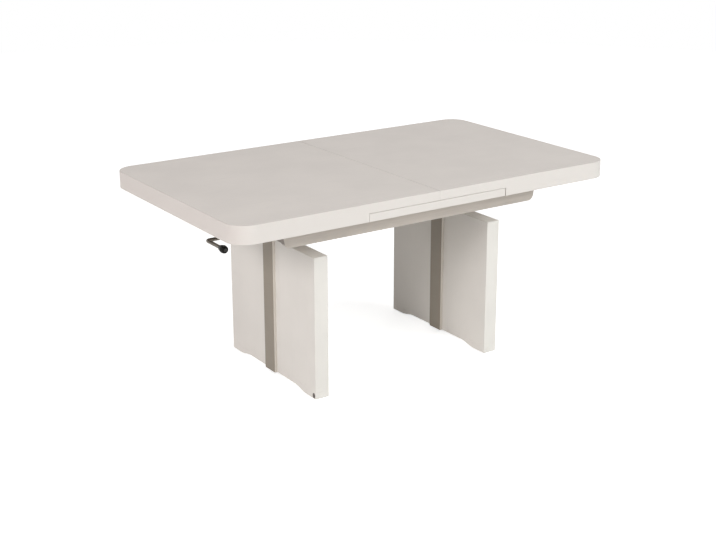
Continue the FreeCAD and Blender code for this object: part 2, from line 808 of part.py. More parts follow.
def shaft_bush(name, seat_x, length, outward):
    """Flanged bush on the shaft's axis; its flange lies outside the seat, on the side given."""
    radius = f"({SHAFT_RADIUS} + dim.bush_wall)"
    flange_x = f"{seat_x} + {length}" if outward > 0 else f"{seat_x} - dim.bush_flange"
    sleeve = cylinder(f"{name}_sleeve", "x", radius, length, seat_x, z=SHAFT_HEIGHT)
    flange = cylinder(
        f"{name}_flange", "x", f"{radius} + dim.bush_wall", "dim.bush_flange", flange_x, z=SHAFT_HEIGHT,
    )
    bore = cylinder(
        f"{name}_bore", "x", f"{SHAFT_RADIUS} + dim.fit_clearance", f"{length} + 2 * dim.bush_flange",
        f"{seat_x} - dim.bush_flange", z=SHAFT_HEIGHT,
    )
    return cut(name, fuse(f"{name}_blank", sleeve, flange), bore)


def shaft_bushes():
    """Bushes in the gearbox walls and in the crank bracket."""
    bushes = []
    for side, sign in SIDES:
        for outward in (-1, 1):
            wall = "(dim.gearbox_length / 2 - dim.gearbox_wall)"
            seat = span(outward, wall, f"{wall} + dim.gearbox_wall")[0]
            seat_x = f"({leg_x(sign)} + {seat})"
            bushes.append(shaft_bush(f"{side}_wall_bush", seat_x, "dim.gearbox_wall", outward))
    bracket_seat = f"({BRACKET_X} - dim.bracket_thickness / 2)"
    bushes.append(shaft_bush("bracket_bush", bracket_seat, "dim.bracket_thickness", -1))
    node("shaft_bushes", group("shaft_bush_set", *bushes))


def crank_bracket():
    """Hanger under the left end rail that steadies the shaft beside the crank."""
    thickness = about(BRACKET_X, "dim.bracket_thickness")
    eye = cylinder(
        "bracket_eye", "x", "dim.bracket_eye_diameter / 2", "dim.bracket_thickness", thickness[0],
        z=SHAFT_HEIGHT,
    )
    web = box("bracket_web", thickness, about("0", "dim.bracket_eye_diameter"), (SHAFT_HEIGHT, RAIL_BOTTOM))
    flange = box(
        "bracket_flange", thickness, about("0", "dim.bracket_flange_width"),
        (f"{RAIL_BOTTOM} - dim.bracket_flange_thickness", RAIL_BOTTOM),
    )
    bore = cylinder(
        "bracket_bore", "x", f"{SHAFT_RADIUS} + dim.bush_wall + dim.fit_clearance", "dim.bracket_thickness",
        thickness[0], z=SHAFT_HEIGHT,
    )
    node("crank_bracket", cut("bracket", fuse("bracket_blank", eye, web, flange), bore))


def drive_line():
    """Drive shaft, its coupling, the bent crank rod and the knob."""
    shaft_stop = f"({leg_x(1)} + dim.gearbox_length / 2 + dim.bush_flange + dim.shaft_end)"
    shaft_length = f"{shaft_stop} - {SHAFT_JOIN_X}"
    shaft = cylinder("shaft_rod", "x", SHAFT_RADIUS, shaft_length, SHAFT_JOIN_X, z=SHAFT_HEIGHT)
    node("drive_shaft", shaft)
    sleeve = cylinder(
        "coupling_sleeve", "x", "dim.coupling_diameter / 2", "dim.coupling_length", COUPLING_X,
        z=SHAFT_HEIGHT,
    )
    bore = cylinder(
        "coupling_bore", "x", f"{SHAFT_RADIUS} + dim.fit_clearance", "dim.coupling_length", COUPLING_X,
        z=SHAFT_HEIGHT,
    )
    node("shaft_coupling", cut("coupling", sleeve, bore))
    bend_x = "(-dim.crank_reach + dim.crank_bend)"
    stub = cylinder("crank_stub", "x", SHAFT_RADIUS, f"{SHAFT_JOIN_X} - {bend_x}", bend_x, z=SHAFT_HEIGHT)
    bend = doc.addObject("Part::Torus", "crank_elbow")
    bend.setExpression("Radius1", "dim.crank_bend")
    bend.setExpression("Radius2", SHAFT_RADIUS)
    bend.Angle3 = 90
    bend.Placement = FreeCAD.Placement(V(), FreeCAD.Rotation(V(0, 0, 1), 90))
    place(bend, bend_x, "-dim.crank_bend", SHAFT_HEIGHT)
    arm = cylinder(
        "crank_arm_rod", "y", SHAFT_RADIUS, f"{ROD_END} - dim.crank_bend", "-dim.crank_reach",
        f"-{ROD_END}", SHAFT_HEIGHT,
    )
    node("crank_rod", fuse("crank_bent_rod", stub, bend, arm))
    crank_knob()


def crank_knob():
    """Barrel knob pushed onto the end of the crank's arm."""
    bore = f"({SHAFT_RADIUS} + dim.fit_clearance)"
    start = "-(dim.crank_arm - dim.knob_length / 2)"
    belly = f"({start} - dim.knob_length * {KNOB_BELLY_SHARE})"
    end = "-(dim.crank_arm + dim.knob_length / 2)"
    bore_end = f"-({ROD_END} + dim.fit_clearance)"
    knob = body("knob_turning", x="-dim.crank_reach", z=SHAFT_HEIGHT)
    points = [
        (bore, start), ("dim.knob_neck_diameter / 2", start), ("dim.knob_diameter / 2", belly),
        ("dim.knob_end_diameter / 2", end), ("0", end), ("0", bore_end), (bore, bore_end),
    ]
    revolve(knob, "XY_Plane", points, "Y_Axis")
    rings = [number(belly), number(end)]
    widest = number("dim.knob_end_diameter / 2")

    def on_ring(edge):
        level = any(same(edge.BoundBox.YMin, at) and same(edge.BoundBox.YMax, at) for at in rings)
        return level and edge.BoundBox.XMax > widest - number("dim.fit_clearance")

    round_edges(knob, "dim.knob_round", on_ring)
    node("crank_knob", knob)


def spindle(side, sign):
    """Lifting screw with a collar under its bearing and a journal for its gear."""
    foot = f"({PLATE_TOP} + dim.spindle_foot_gap)"
    collar_top = f"({BEARING_FOOT} - dim.hub_gap)"
    collar_foot = f"({collar_top} - dim.spindle_collar_height)"
    journal_top = f"({SHAFT_HEIGHT} - {BEVEL_RADIUS} + dim.bevel_module)"
    thread = "dim.spindle_diameter / 2"
    collar = "dim.spindle_collar_diameter / 2"
    screw = body(f"{side}_screw_turning", x=leg_x(sign))
    points = [
        ("0", foot), (thread, foot), (thread, collar_foot), (collar, collar_foot), (collar, collar_top),
        (thread, collar_top), (thread, GEARBOX_BOTTOM), (SHAFT_RADIUS, GEARBOX_BOTTOM),
        (SHAFT_RADIUS, journal_top), ("0", journal_top),
    ]
    revolve(screw, "XZ_Plane", points, "Z_Axis")
    node(f"{side}_spindle", screw)


def bevel_gear_shape(phase_share):
    """Straight bevel gear with its apex at the origin and its axis down; phase is a share of a pitch."""
    module = number("dim.bevel_module")
    pitch = number(BEVEL_RADIUS)
    cone = pitch / math.sin(BEVEL_CONE)
    shrink = 1 - number("dim.bevel_face") / cone
    addendum = module * BEVEL_ADDENDUM_SHARE
    dedendum = module * BEVEL_DEDENDUM_SHARE
    bore = number(f"{SHAFT_RADIUS} + dim.fit_clearance")
    hub = number("dim.bevel_hub_diameter / 2")
    hub_end = number(f"{SHAFT_HEIGHT} - {GEARBOX_BOTTOM} - dim.hub_gap")
    root_radius = pitch - dedendum * math.cos(BEVEL_CONE)
    root_depth = pitch + dedendum * math.sin(BEVEL_CONE)
    back = root_depth + number("dim.bevel_back")
    section = [
        (bore, root_depth * shrink), (root_radius * shrink, root_depth * shrink), (root_radius, root_depth),
        (root_radius, back), (hub, back), (hub, hub_end), (bore, hub_end),
    ]
    corners = [V(radius, 0, -depth) for radius, depth in section]
    blank = Part.Face(Part.makePolygon(corners + corners[:1])).revolve(V(), V(0, 0, 1), 360)
    root, middle, tip = (module * share for share in BEVEL_THICKNESS_SHARES)
    slack = number("dim.bevel_backlash / 4")
    foot = -dedendum - number("dim.bevel_embed")
    half = [(root - slack, foot), (middle - slack, 0), (tip - slack, addendum)]
    profile = half + [(-across, rise) for across, rise in reversed(half)]

    def tooth_wire(scale):
        points = [
            V(
                scale * (pitch + rise * math.cos(BEVEL_CONE)), scale * across,
                -scale * (pitch - rise * math.sin(BEVEL_CONE)),
            )
            for across, rise in profile
        ]
        return Part.makePolygon(points + points[:1])

    tooth = Part.makeLoft([tooth_wire(1), tooth_wire(shrink)], True, True)
    teeth = []
    for index in range(BEVEL_TEETH):
        copy = tooth.copy()
        copy.rotate(V(), V(0, 0, 1), (index + phase_share) * 360 / BEVEL_TEETH)
        teeth.append(copy)
    return blank.multiFuse(teeth).removeSplitter()


def bevel_gears(side, sign):
    """Mitre pair of a gearbox: one gear on the spindle and one on the drive shaft."""
    apex = V(number(leg_x(sign)), 0, number(SHAFT_HEIGHT))
    driven = doc.addObject("Part::Feature", f"{side}_driven_bevel")
    driven.Shape = bevel_gear_shape(0)
    driven.Placement = FreeCAD.Placement(apex, FreeCAD.Rotation())
    driver = doc.addObject("Part::Feature", f"{side}_driver_bevel")
    driver.Shape = bevel_gear_shape(1 / 2)
    driver.Placement = FreeCAD.Placement(apex, AXIS_TURNS["x"])
    node(f"{side}_spindle_gear", driven)
    node(f"{side}_drive_gear", driver)


def involute_half_angle(radius, pitch, slack):
    """Half of a tooth's angle at a radius."""
    base = pitch * math.cos(PRESSURE_ANGLE)
    at_pitch = math.tan(PRESSURE_ANGLE) - PRESSURE_ANGLE
    pressure = math.acos(min(1, base / radius))
    here = math.tan(pressure) - pressure
    return math.pi / (2 * PINION_TEETH) - slack / pitch + at_pitch - here


def sync_pinion():
    """Spur pinion between the two racks, on a hub over the centre member."""
    module = number("dim.rack_module")
    pitch = number(PINION_RADIUS)
    slack = number("dim.rack_backlash / 4")
    base = pitch * math.cos(PRESSURE_ANGLE)
    root = pitch - module * RACK_DEDENDUM_SHARE
    tip = pitch + module * RACK_ADDENDUM_SHARE
    radii = (root, base, pitch, (pitch + tip) / 2, tip)
    flank = [(radius, involute_half_angle(radius, pitch, slack)) for radius in radii]
    outline_points = []
    for index in range(PINION_TEETH):
        centre = 2 * math.pi * index / PINION_TEETH
        rising = [(radius, centre - half) for radius, half in flank]
        falling = [(radius, centre + half) for radius, half in reversed(flank)]
        for radius, angle in rising + falling:
            outline_points.append(V(radius * math.cos(angle), radius * math.sin(angle), 0))
    bottom = number(f"{RACK_BOTTOM} - dim.pinion_overlap")
    face = number("dim.rack_height + 2 * dim.pinion_overlap")
    hub_bottom = number(f"{MEMBER_TOP} + dim.slide_clearance")
    wheel = Part.Face(Part.makePolygon(outline_points + outline_points[:1])).extrude(V(0, 0, face))
    hub_base = V(0, 0, hub_bottom - bottom)
    hub = Part.makeCylinder(number("dim.pinion_hub_diameter / 2"), bottom - hub_bottom, hub_base)
    bore_radius = number("dim.pin_diameter / 2 + dim.fit_clearance")
    bore = Part.makeCylinder(bore_radius, bottom - hub_bottom + face, hub_base)
    pinion = doc.addObject("Part::Feature", "pinion_wheel")
    pinion.Shape = wheel.fuse(hub).cut(bore).removeSplitter()
    pinion.Placement = FreeCAD.Placement(V(0, 0, bottom), FreeCAD.Rotation())
    node("sync_pinion", pinion)


def pinion_pin():
    """Headed pin that carries the pinion."""
    wheel_top = f"({RACK_TOP} + dim.pinion_overlap + dim.slide_clearance)"
    length = f"{wheel_top} - {RAIL_BOTTOM}"
    shank = cylinder("pin_shank", "z", "dim.pin_diameter / 2", length, z=RAIL_BOTTOM)
    head = cylinder("pin_head", "z", "dim.pin_head_diameter / 2", "dim.pin_head_height", z=wheel_top)
    node("pinion_pin", fuse("headed_pin", shank, head))


def sync_rack(side, sign):
    """Rack that runs under the leaf to the pinion and turns up to its top half at the outer end."""
    module = number("dim.rack_module")
    pitch = number(PINION_RADIUS)
    tip = pitch - module * RACK_ADDENDUM_SHARE
    root = number(RACK_ROOT)
    back = number(RACK_BACK)
    inner = -number("dim.rack_reach")
    outer = number("dim.rack_arm_start + dim.rack_arm_length")
    spacing = math.pi * module
    half_pitch = spacing / 4 - number("dim.rack_backlash / 4")
    half_root = half_pitch + (root - pitch) * math.tan(PRESSURE_ANGLE)
    half_tip = half_pitch - (pitch - tip) * math.tan(PRESSURE_ANGLE)
    points = [(inner, back), (inner, root)]
    first = math.ceil((inner + half_root) / spacing - 1 / 2)
    last = math.floor(number("dim.rack_tooth_end") / spacing - 1 / 2)
    for index in range(first, last + 1):
        centre = (index + 1 / 2) * spacing
        points += [(centre - half_root, root), (centre - half_tip, tip)]
        points += [(centre + half_tip, tip), (centre + half_root, root)]
    points += [(outer, root), (outer, back)]
    corners = [V(sign * x, -sign * y, 0) for x, y in points]
    bar = Part.Face(Part.makePolygon(corners + corners[:1])).extrude(V(0, 0, number("dim.rack_height")))
    arm_start = number("dim.rack_arm_start")
    arm_x = min(sign * arm_start, sign * outer)
    arm_y = min(-sign * root, -sign * back)
    arm_height = number(f"{BOARD_UNDERSIDE} - {RACK_BOTTOM}")
    arm = Part.makeBox(outer - arm_start, back - root, arm_height, V(arm_x, arm_y, 0))
    rack = doc.addObject("Part::Feature", f"{side}_rack_bar")
    rack.Shape = bar.fuse(arm).removeSplitter()
    rack.Placement = FreeCAD.Placement(V(0, 0, number(RACK_BOTTOM)), FreeCAD.Rotation())
    node(f"{side}_sync_rack", rack)


def rack_keepers():
    """Grooved blocks that hold the racks against the pinion."""
    keepers = []
    outer = f"({RACK_BACK} + dim.rack_keep)"
    inner = f"({RACK_BACK} - dim.rack_keep)"
    top = f"({RACK_TOP} + dim.rack_keeper_lip)"
    for face, front in FACES:
        length = about("0", "dim.centre_member_width")
        block = box(f"{face}_keeper_block", length, span(front, inner, outer), (MEMBER_TOP, top))
        groove = box(
            f"{face}_keeper_groove", length,
            span(front, f"{inner} - dim.overrun", f"{RACK_BACK} + dim.slide_clearance"),
            (f"{RACK_BOTTOM} - dim.slide_clearance", f"{RACK_TOP} + dim.slide_clearance"),
        )
        keepers.append(cut(f"{face}_keeper", block, groove))
    node("rack_keepers", group("rack_keeper_pair", *keepers))


def dowel_places():
    return [f"{step} * dim.dowel_pitch" for step in (-1, 0, 1)]


def dowel_height():
    return "(dim.table_height - dim.board_thickness / 2)"


def top_panel(side, sign):
    """Half of the top: a board with a deeper rim, cut away over the stored leaf."""
    split = "dim.split_gap / 2"
    end = "dim.top_length / 2"
    back = "dim.top_width / 2"
    thickness = "(dim.board_thickness + dim.rim_depth)"
    panel = body(f"{side}_panel_blank", z=RAIL_TOP)
    points = [
        (f"{sign} * {split}", f"-{back}"), (f"{sign} * {end}", f"-{back}"),
        (f"{sign} * {end}", back), (f"{sign} * {split}", back),
    ]
    pad(panel, "XY_Plane", points, thickness)
    end_at = number(f"{sign} * {end}")
    split_at = number(f"{sign} * {split}")
    round_edges(
        panel, "dim.corner_radius", lambda edge: runs_along(edge, "z") and same(edge.CenterOfMass.x, end_at)
    )

    def on_arris(edge):
        level = edge.BoundBox.ZLength < number("dim.overrun")
        at_split = runs_along(edge, "y") and same(edge.CenterOfMass.x, split_at)
        return level and not (at_split and same(edge.CenterOfMass.z, 0))

    round_edges(panel, "dim.arris_radius", on_arris)
    slot = "(dim.leaf_length / 2 + dim.leaf_end_gap)"
    rim = f"({back} - dim.rim_width)"
    beyond = f"({back} + dim.overrun)"
    recess_end = f"({end} - dim.rim_width)"
    inside = "-dim.overrun"
    recess = [
        (f"{sign} * {inside}", f"-{beyond}"), (f"{sign} * {slot}", f"-{beyond}"),
        (f"{sign} * {slot}", f"-{rim}"), (f"{sign} * {recess_end}", f"-{rim}"),
        (f"{sign} * {recess_end}", rim), (f"{sign} * {slot}", rim),
        (f"{sign} * {slot}", beyond), (f"{sign} * {inside}", beyond),
    ]
    pocket(panel, "XY_Plane", recess, "dim.rim_depth")
    far = "(dim.dowel_length - dim.dowel_reach)" if sign > 0 else "dim.dowel_reach"
    depth = f"({far} + dim.hole_depth_spare)"
    start = span(sign, split, f"{split} + {depth}")[0]
    holes = [
        cylinder(
            f"{side}_dowel_hole", "x", "dim.dowel_diameter / 2 + dim.fit_clearance", depth, start, y,
            dowel_height(),
        )
        for y in dowel_places()
    ]
    node(f"{side}_top_panel", cut(f"{side}_top_drilled", panel, *holes))


def alignment_dowels():
    """Dowels set in the right half that enter the left half when the top closes."""
    dowels = [
        cylinder(
            "dowel", "x", "dim.dowel_diameter / 2", "dim.dowel_length", "-dim.dowel_reach", y,
            dowel_height(),
        )
        for y in dowel_places()
    ]
    node("alignment_dowels", group("dowel_set", *dowels))


def leaf_panel():
    """Spare leaf that lies loose on the long rails under the closed halves."""
    leaf = body("leaf_board", x="-dim.leaf_side_lie", z=f"{RAIL_TOP} + dim.leaf_rest_gap")
    pad(leaf, "XY_Plane", rectangle("dim.leaf_length", "dim.top_width"), "dim.leaf_thickness")
    round_edges(leaf, "dim.arris_radius", lambda edge: not runs_along(edge, "z"))
    node("leaf_panel", leaf)


def build():
    for side, sign in SIDES:
        column_tube(side, sign)
        for face, front in FACES:
            wing(side, sign, face, front)
        nut_tube(side, sign)
        spindle_nut(side, sign)
        guide_collar(side, sign)
        inner_column(side, sign)
        spindle(side, sign)
        gearbox_housing(side, sign)
        gearbox_cover(side, sign)
        bevel_gears(side, sign)
        end_rail(side, sign)
        cross_member(side, sign)
        sync_rack(side, sign)
        top_panel(side, sign)
    slide_bars("right", 1, 0)
    slide_bars("left", -1, 1)
    for face, front in FACES:
        long_rail(face, front)
        slide_guide(face, front)
    wing_bolts()
    floor_glides()
    foot_plates()
    guide_shoes()
    spindle_bearings()
    gearbox_bolts()
    shaft_bushes()
    crank_bracket()
    drive_line()
    centre_member()
    corner_blocks()
    sync_pinion()
    pinion_pin()
    rack_keepers()
    alignment_dowels()
    leaf_panel()


def write_parts():
    """Check every object and write one file for each sub-part."""
    doc.recompute()
    for obj in doc.Objects:
        if "Invalid" in obj.State or "Error" in obj.State:
            raise ValueError(f"{obj.Label} failed to build")
    for obj in nodes:
        if obj.Shape.isNull() or not obj.Shape.isValid():
            raise ValueError(f"{obj.Label} has no valid shape")
    os.makedirs("parts", exist_ok=True)
    for obj in nodes:
        obj.Shape.exportStep(f"parts/{obj.Label}.step")


build()
write_parts()
print(len(nodes), "sub-parts written")
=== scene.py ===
"""Looks of the convertible coffee and dining table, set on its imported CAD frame."""

import json
import math

import bmesh
import bpy
from mathutils import Matrix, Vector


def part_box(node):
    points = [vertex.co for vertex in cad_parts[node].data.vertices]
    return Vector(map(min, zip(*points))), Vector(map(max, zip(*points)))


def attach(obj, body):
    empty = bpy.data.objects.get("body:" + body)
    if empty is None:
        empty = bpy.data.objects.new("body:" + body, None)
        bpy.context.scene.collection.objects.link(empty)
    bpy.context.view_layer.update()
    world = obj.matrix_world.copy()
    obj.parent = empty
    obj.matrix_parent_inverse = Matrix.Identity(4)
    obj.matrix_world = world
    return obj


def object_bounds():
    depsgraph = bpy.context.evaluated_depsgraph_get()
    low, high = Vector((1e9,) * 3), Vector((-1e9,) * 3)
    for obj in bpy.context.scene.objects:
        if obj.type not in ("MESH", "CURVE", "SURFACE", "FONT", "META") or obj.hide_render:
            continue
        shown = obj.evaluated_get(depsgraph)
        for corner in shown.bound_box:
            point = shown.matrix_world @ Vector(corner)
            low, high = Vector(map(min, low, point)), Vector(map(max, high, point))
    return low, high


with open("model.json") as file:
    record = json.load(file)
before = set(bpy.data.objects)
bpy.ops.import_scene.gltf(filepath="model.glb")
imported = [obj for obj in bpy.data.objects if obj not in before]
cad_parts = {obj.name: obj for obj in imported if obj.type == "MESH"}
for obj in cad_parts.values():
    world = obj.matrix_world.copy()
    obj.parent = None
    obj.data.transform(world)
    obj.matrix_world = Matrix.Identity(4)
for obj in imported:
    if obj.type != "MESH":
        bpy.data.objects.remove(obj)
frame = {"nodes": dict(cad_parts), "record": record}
cad_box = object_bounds()
NODES = frame["nodes"]

# Lengths are in metres. The closed top fills the CAD box, so its plan and height are the box's far corner.
TOP_HALF_LENGTH, TOP_HALF_WIDTH, TOP_HEIGHT = cad_box[1]
TOP_CORNER = 0.055
WING_REACH = 0.225
BAND_THICKNESS = 0.0021
BAND_SEAM = 0.00012

# Colours that more than one material uses, in linear light.
BEIGE = (0.565, 0.514, 0.462)
DARK_TAUPE = (0.24, 0.21, 0.185)
STEEL = (0.46, 0.46, 0.465)
STEEL_STAIN = (0.35, 0.34, 0.32)
OIL = (0.16, 0.13, 0.1)
WHITE = (1, 1, 1)

# Stretch of the drawing lines on metal, of the printed grain on boards and of the figure in timber.
LINES_X = (0.02, 1, 1)
LINES_Z = (1, 1, 0.02)
LAMINATE_X = (0.6, 9, 9)
LAMINATE_Z = (9, 9, 0.6)
FOIL_X = (0.5, 9, 9)
FOIL_Y = (9, 0.5, 9)
TIMBER_X = (0.7, 8, 8)
TIMBER_Y = (8, 0.7, 8)


def tone(colour, factor):
    return tuple(channel * factor for channel in colour)


def opaque(colour):
    return (*colour, 1)


class Shader:
    """A node material with a Principled shader and short calls for its nodes."""

    def __init__(self, name, colour, roughness, metallic=0.0):
        self.material = bpy.data.materials.new(name)
        self.material.use_nodes = True
        self.tree = self.material.node_tree
        self.bsdf = self.tree.nodes["Principled BSDF"]
        self.bsdf.inputs["Base Color"].default_value = opaque(colour)
        self.bsdf.inputs["Roughness"].default_value = roughness
        self.bsdf.inputs["Metallic"].default_value = metallic
        self.normal = None

    def add(self, kind, **settings):
        made = self.tree.nodes.new(kind)
        for key, value in settings.items():
            setattr(made, key, value)
        return made

    def feed(self, socket, value):
        """Link an output, or set a plain value."""
        if isinstance(value, bpy.types.NodeSocket):
            self.tree.links.new(value, socket)
        else:
            socket.default_value = value

    def coordinate(self, kind, axis):
        """One axis of a texture coordinate that stays on the piece."""
        split = self.add("ShaderNodeSeparateXYZ")
        self.feed(split.inputs[0], self.add("ShaderNodeTexCoord").outputs[kind])
        return split.outputs[axis]

    def place(self, axis):
        """Where the surface lies along an axis."""
        return self.coordinate("Object", axis)

    def facing(self, axis):
        """How squarely the piece's own surface faces along an axis, either way."""
        return self.math("ABSOLUTE", self.coordinate("Normal", axis))

    def noise(self, scale, stretch=(1, 1, 1), detail=3.0, roughness=0.55, distortion=0.0):
        """Noise that stays on the piece, stretched by axis."""
        mapping = self.add("ShaderNodeMapping")
        mapping.inputs["Scale"].default_value = stretch
        self.feed(mapping.inputs["Vector"], self.add("ShaderNodeTexCoord").outputs["Object"])
        made = self.add("ShaderNodeTexNoise")
        self.feed(made.inputs["Vector"], mapping.outputs["Vector"])
        made.inputs["Scale"].default_value = scale
        made.inputs["Detail"].default_value = detail
        made.inputs["Roughness"].default_value = roughness
        made.inputs["Distortion"].default_value = distortion
        return made.outputs["Fac"]

    def math(self, operation, first, second=0.0, third=0.0):
        made = self.add("ShaderNodeMath", operation=operation)
        for socket, value in zip(made.inputs, (first, second, third)):
            self.feed(socket, value)
        return made.outputs[0]

    def hypotenuse(self, first, second):
        squares = [self.math("MULTIPLY", side, side) for side in (first, second)]
        return self.math("SQRT", self.math("ADD", *squares))

    def near(self, value, centre, half_width):
        """1 within a half width of a centre, else 0."""
        return self.math("COMPARE", value, centre, half_width)

    def ranged(self, value, low, high, to_low=0.0, to_high=1.0):
        """Smooth step from one number to another as a value goes from low to high."""
        made = self.add("ShaderNodeMapRange", interpolation_type="SMOOTHSTEP")
        names = ("Value", "From Min", "From Max", "To Min", "To Max")
        for name, item in zip(names, (value, low, high, to_low, to_high)):
            self.feed(made.inputs[name], item)
        return made.outputs[0]

    def mix(self, share, first, second):
        """Colour between two, each given as three numbers or as an output."""
        made = self.add("ShaderNodeMix", data_type="RGBA")
        self.feed(made.inputs["Factor"], share)
        for name, value in (("A", first), ("B", second)):
            socket = next(s for s in made.inputs if s.name == name and s.type == "RGBA")
            self.feed(socket, value if isinstance(value, bpy.types.NodeSocket) else opaque(value))
        return next(s for s in made.outputs if s.type == "RGBA")

    def cover(self, mask, strength, base, colour):
        """Lay a colour over a base where a mask is 1, at part strength."""
        return self.mix(self.math("MULTIPLY", mask, strength), base, colour)

    def varied(self, pattern, low, high, colour, first, second):
        """Two tones of a colour, the second where a pattern is high."""
        return self.mix(self.ranged(pattern, low, high), tone(colour, first), tone(colour, second))

    def colour(self, value):
        self.feed(self.bsdf.inputs["Base Color"], value)

    def roughness(self, value):
        self.feed(self.bsdf.inputs["Roughness"], value)

    def relief(self, height, depth, strength):
        """Lay one more bump over those already there."""
        made = self.add("ShaderNodeBump")
        made.inputs["Strength"].default_value = strength
        made.inputs["Distance"].default_value = depth
        self.feed(made.inputs["Height"], height)
        if self.normal is not None:
            self.feed(made.inputs["Normal"], self.normal)
        self.normal = made.outputs["Normal"]
        self.feed(self.bsdf.inputs["Normal"], self.normal)


def laminate(name, colour, roughness, grain):
    """Off-white melamine: faint clouds, short embossed pores along the grain and a fine pearl."""
    shader = Shader(name, colour, roughness)
    cloud = shader.noise(7, detail=4)
    streak = shader.noise(9, stretch=grain, detail=5, roughness=0.65, distortion=0.4)
    base = shader.varied(cloud, 0.3, 0.7, colour, 0.975, 1.015)
    base = shader.mix(shader.ranged(streak, 0.52, 0.78, 0, 0.35), base, tone(colour, 0.93))
    pearl = shader.noise(1500, detail=2)
    pores = shader.ranged(shader.noise(60, stretch=grain, detail=3, roughness=0.7), 0.58, 0.7)
    shader.roughness(shader.ranged(pearl, 0.25, 0.75, roughness - 0.05, roughness + 0.07))
    shader.relief(pearl, depth=0.00004, strength=0.5)
    shader.relief(shader.math("SUBTRACT", 1, pores), depth=0.00006, strength=0.35)
    return shader, base


def top_laminate():
    """Laminate of the top, with its edge band, the band's seam, and painted shade with some grime along the
    joint of the halves.
    """
    colour = (0.812, 0.772, 0.732)
    seam_colour = tone(colour, 0.6)
    seam_strength = 0.5
    shader, base = laminate("top_laminate", colour, 0.57, LAMINATE_X)

    # Distance outward from the rounded outline of the top, below zero inside it.
    from_joint = shader.math("ABSOLUTE", shader.place("X"))
    from_middle = shader.math("ABSOLUTE", shader.place("Y"))
    over_x = shader.math("SUBTRACT", from_joint, TOP_HALF_LENGTH - TOP_CORNER)
    over_y = shader.math("SUBTRACT", from_middle, TOP_HALF_WIDTH - TOP_CORNER)
    corner = shader.hypotenuse(shader.math("MAXIMUM", over_x, 0), shader.math("MAXIMUM", over_y, 0))
    inside = shader.math("MINIMUM", shader.math("MAXIMUM", over_x, over_y), 0)
    outward = shader.math("SUBTRACT", shader.math("ADD", corner, inside), TOP_CORNER)

    band = shader.ranged(outward, -BAND_THICKNESS, -BAND_THICKNESS + BAND_SEAM)
    seam = shader.near(outward, -BAND_THICKNESS, BAND_SEAM)
    base = shader.cover(band, 0.8, base, tone(colour, 0.8375))
    base = shader.cover(seam, seam_strength, base, seam_colour)

    # The joint of the halves is marked on the upper face alone.
    upper_face = shader.ranged(shader.place("Z"), TOP_HEIGHT - 0.0025, TOP_HEIGHT - 0.0015)
    joint_seam = shader.math("MULTIPLY", shader.near(from_joint, BAND_THICKNESS, BAND_SEAM), upper_face)
    # Painted shade with some grime: darker on the rounded arrises either side of the joint, where the groove
    # lies in shade.
    joint_shade_and_grime = shader.math("MULTIPLY", shader.ranged(from_joint, 0.0005, 0.0016, 0.3, 0), upper_face)
    base = shader.cover(joint_seam, seam_strength, base, seam_colour)
    base = shader.mix(joint_shade_and_grime, base, tone(colour, 0.45))
    shader.colour(base)
    return shader.material


def dark_patch_mask(shader):
    """1 in a ragged patch at the foot of the left front wing, on its outer face, else 0."""
    middle_y = -0.2165
    middle_z = 0.0115
    half_width = 0.0068
    half_height = 0.0085
    face_start = -0.3078
    face_end = -0.3070
    raggedness = 0.36
    across = shader.math("DIVIDE", shader.math("SUBTRACT", shader.place("Y"), middle_y), half_width)
    along = shader.math("DIVIDE", shader.math("SUBTRACT", shader.place("Z"), middle_z), half_height)
    ragged = shader.math("MULTIPLY", shader.math("SUBTRACT", shader.noise(260, detail=4), 0.5), raggedness)
    ring = shader.math("ADD", shader.hypotenuse(across, along), ragged)
    outer_face = shader.ranged(shader.place("X"), face_start, face_end, 1, 0)
    return shader.math("MULTIPLY", shader.ranged(ring, 0.75, 1.0, 1, 0), outer_face)


def leg_laminate(name, with_dark_patch):
    """Laminate of a wing: the seam of its edge band, painted light that makes its top and bottom faces
    paler, and scuffs near the floor.
    """
    colour = (0.755, 0.735, 0.695)
    scuff_colour = (0.4, 0.36, 0.31)
    dark_patch_colour = (0.07, 0.055, 0.045)
    shader, base = laminate(name, colour, 0.5, LAMINATE_Z)
    from_middle = shader.math("ABSOLUTE", shader.place("Y"))
    seam = shader.near(from_middle, WING_REACH - BAND_THICKNESS, BAND_SEAM)
    base = shader.cover(seam, 0.45, base, tone(colour, 0.6))
    # Painted light: faces that face up or down are made paler, standing in for the light that reaches the
    # wing tops under the table.
    painted_light_level_faces = shader.ranged(shader.facing("Z"), 0.8, 0.95, 0, 0.8)
    base = shader.mix(painted_light_level_faces, base, tone(colour, 1.17))
    low = shader.ranged(shader.place("Z"), 0.003, 0.05, 1, 0)
    scuff = shader.ranged(shader.noise(45, stretch=(1, 1, 2.5), detail=6, roughness=0.7), 0.5, 0.72)
    base = shader.cover(shader.math("MULTIPLY", low, scuff), 0.25, base, scuff_colour)
    # A dark, slightly sunken ragged patch at the foot of the wing.
    if with_dark_patch:
        dark_patch = dark_patch_mask(shader)
        base = shader.mix(dark_patch, base, dark_patch_colour)
        shader.relief(shader.math("SUBTRACT", 1, dark_patch), depth=0.0006, strength=0.8)
    shader.colour(base)
    return shader.material


def frame_foil(name, colour, stretch, dark_ends=False):
    """Foil of the frame's boards with a faint printed grain, and dark bands on the ends of the long ones."""
    shader = Shader(name, colour, 0.5)
    grain = shader.noise(14, stretch=stretch, detail=6, roughness=0.65, distortion=0.5)
    fine = shader.noise(90, stretch=stretch, detail=3, roughness=0.6)
    base = shader.varied(grain, 0.35, 0.7, colour, 1.03, 0.94)
    base = shader.mix(shader.ranged(fine, 0.6, 0.75, 0, 0.3), base, tone(colour, 0.85))
    if dark_ends:
        base = shader.mix(shader.ranged(shader.facing("X"), 0.8, 0.95), base, DARK_TAUPE)
    shader.colour(base)
    shader.roughness(shader.ranged(grain, 0.3, 0.7, 0.46, 0.56))
    shader.relief(fine, depth=0.00006, strength=0.4)
    return shader.material


